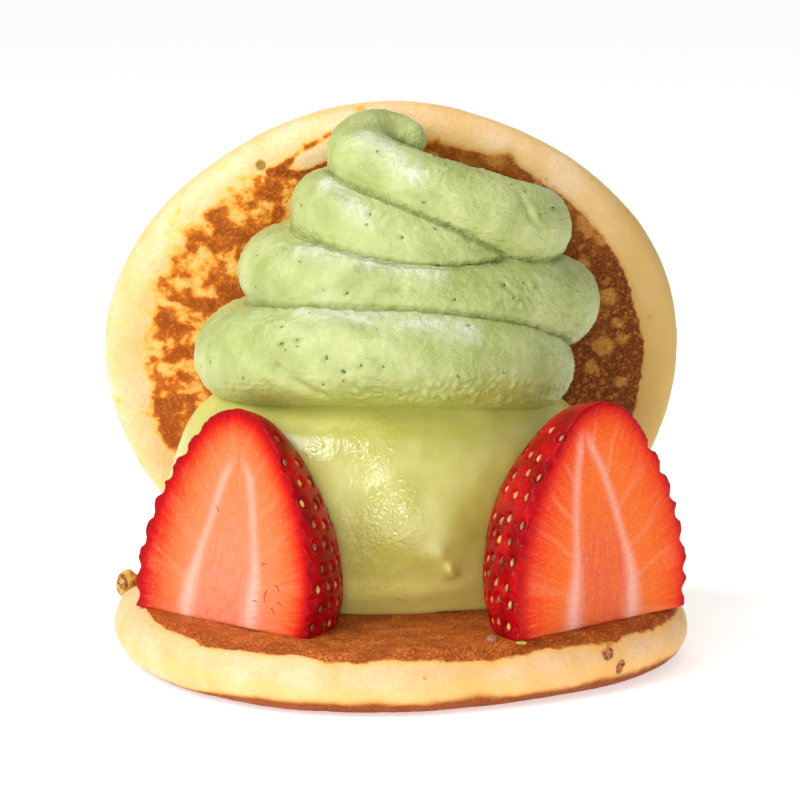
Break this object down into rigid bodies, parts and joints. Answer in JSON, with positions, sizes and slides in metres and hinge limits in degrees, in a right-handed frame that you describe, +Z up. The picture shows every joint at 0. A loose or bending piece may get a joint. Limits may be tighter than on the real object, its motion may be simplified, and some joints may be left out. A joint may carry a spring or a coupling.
{
  "type": "dorayaki",
  "caption": "Open dorayaki: a flat pancake and a leaning pancake hold a mound of green tea custard, a piped cream swirl and a halved strawberry.",
  "frame": {"origin": "on the flat underside of the lower pancake, below the middle of the custard", "axes": "+Z up, +X to the right seen from the front, +Y towards the upper pancake at the back"},
  "size_m": [0.093, 0.0997, 0.0839],
  "materials": {
    "sponge": "soft pale sponge with browned faces",
    "sponge_upper": "mottled browned face with a pale sponge rim",
    "custard": "smooth and glossy",
    "cream": "soft and matt, with small air pits",
    "strawberry": "glossy skin, moist cut face"
  },
  "bodies": {
    "root": {"pancake_lower": "sponge", "pancake_upper": "sponge_upper", "custard": "custard", "cream_swirl": "cream", "strawberry_half_left": "strawberry", "strawberry_half_right": "strawberry"}
  },
  "joints": []
}
